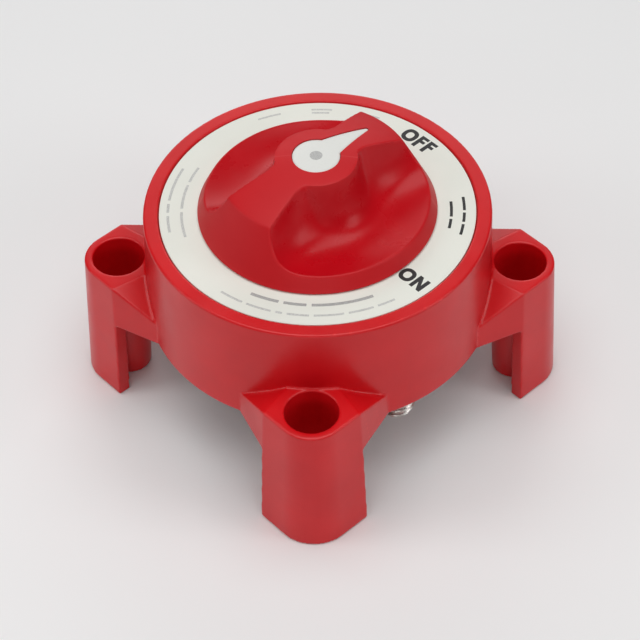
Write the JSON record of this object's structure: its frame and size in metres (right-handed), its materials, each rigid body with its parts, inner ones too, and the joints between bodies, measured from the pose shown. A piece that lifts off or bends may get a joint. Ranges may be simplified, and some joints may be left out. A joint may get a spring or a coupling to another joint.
{
  "type": "rotary battery switch",
  "caption": "Surface-mount rotary battery switch: round body on hollow corner legs, finger-recess knob with a pointer, two-position label, threaded terminal studs underneath.",
  "frame": {"origin": "centre of the mounting plane, under the four legs", "axes": "+Z out of the panel, towards the knob; the pointer faces +Y at OFF and +X at ON; the studs lie on X and the legs on the diagonals"},
  "size_m": [0.0906, 0.0906, 0.0717],
  "materials": {
    "red_plastic": "fine satin moulded texture",
    "printed_label": "matt printed film",
    "knob_red_plastic": "semi-gloss moulded",
    "white_insert_plastic": "satin",
    "stainless_steel": "plain",
    "dark_nylon": "satin",
    "bare_copper": "bright copper",
    "brass": "turned",
    "seal_rubber": "matt",
    "black_base_plastic": "moulded",
    "tinned_copper": "tin plated, satin"
  },
  "bodies": {
    "body": {"housing": "red_plastic", "label_ring": "printed_label", "base_plate": "black_base_plastic", "base_gasket": "seal_rubber", "thrust_washer": "brass", "shaft_seal": "seal_rubber", "base_screw_1": "stainless_steel", "base_screw_2": "stainless_steel", "base_screw_3": "stainless_steel", "base_screw_4": "stainless_steel", "stud_right": "tinned_copper", "stud_seal_right": "seal_rubber", "flat_washer_right": "stainless_steel", "lock_washer_right": "stainless_steel", "hex_nut_right": "stainless_steel", "stud_left": "tinned_copper", "stud_seal_left": "seal_rubber", "flat_washer_left": "stainless_steel", "lock_washer_left": "stainless_steel", "hex_nut_left": "stainless_steel"},
    "knob": {"knob": "knob_red_plastic", "pointer_insert": "white_insert_plastic", "knob_screw": "stainless_steel", "rotor": "dark_nylon", "contact_spring": "stainless_steel", "detent_spring_a": "stainless_steel", "detent_spring_b": "stainless_steel"},
    "bridge": {"contact_bridge": "bare_copper"},
    "plunger_a": {"detent_plunger_a": "brass"},
    "plunger_b": {"detent_plunger_b": "brass"}
  },
  "joints": [
    {"name": "knob_turn", "type": "hinge", "parent": "body", "child": "knob", "pos_m": [0, 0, 0.0546], "axis": [0, 0, 1], "range_deg": [-90, 0]},
    {"name": "bridge_lift", "type": "slide", "parent": "knob", "child": "bridge", "axis": [0, 0, 1], "range_m": [0, 0.0008], "stiffness_N_per_m": 2000, "springref_m": -0.004, "deforming": ["contact_spring"]},
    {"name": "plunger_a_slide", "type": "slide", "parent": "knob", "child": "plunger_a", "axis": [1, 0, 0], "range_m": [0, 0.0009], "stiffness_N_per_m": 800, "springref_m": 0.003, "deforming": ["detent_spring_a"]},
    {"name": "plunger_b_slide", "type": "slide", "parent": "knob", "child": "plunger_b", "axis": [-1, 0, 0], "range_m": [0, 0.0009], "stiffness_N_per_m": 800, "springref_m": 0.003, "deforming": ["detent_spring_b"]}
  ]
}
